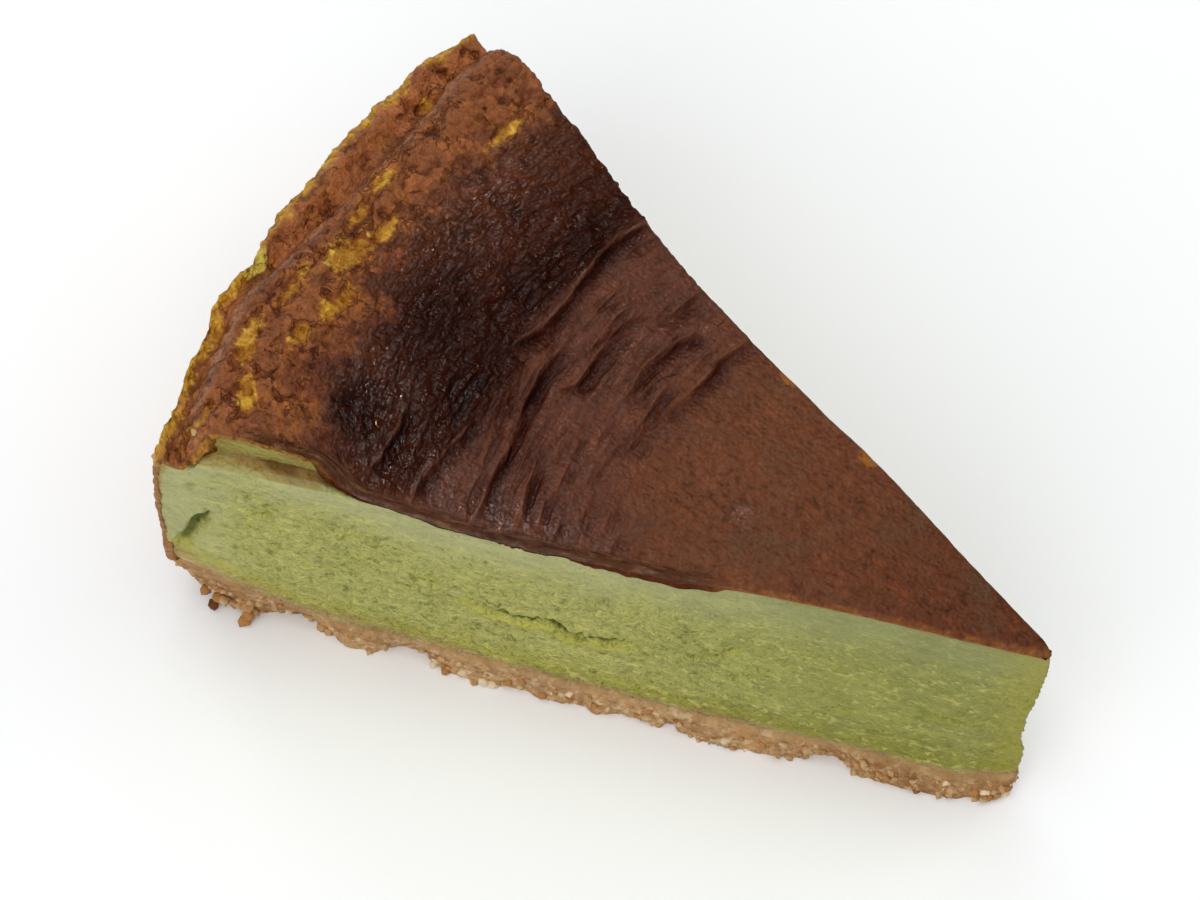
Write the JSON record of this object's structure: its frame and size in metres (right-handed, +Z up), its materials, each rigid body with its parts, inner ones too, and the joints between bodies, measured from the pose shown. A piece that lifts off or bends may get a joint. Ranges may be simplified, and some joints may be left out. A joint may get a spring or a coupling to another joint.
{
  "type": "basque burnt cheesecake slice",
  "caption": "Wedge-shaped slice of green tea burnt cheesecake with a browned, wrinkled top, a raised rim and a thin crumb base.",
  "frame": {"origin": "middle of the slice's footprint on the table", "axes": "+X towards the slice's tip, +Y towards the far cut face, +Z up"},
  "size_m": [0.1, 0.064, 0.0464],
  "materials": {
    "custard": "baked green tea custard: soft matt crumb at the cuts, satin browned skin on top",
    "biscuit": "pressed biscuit crumbs, rough and matt"
  },
  "bodies": {
    "root": {"burnt_custard": "custard", "biscuit_base": "biscuit"}
  },
  "joints": []
}
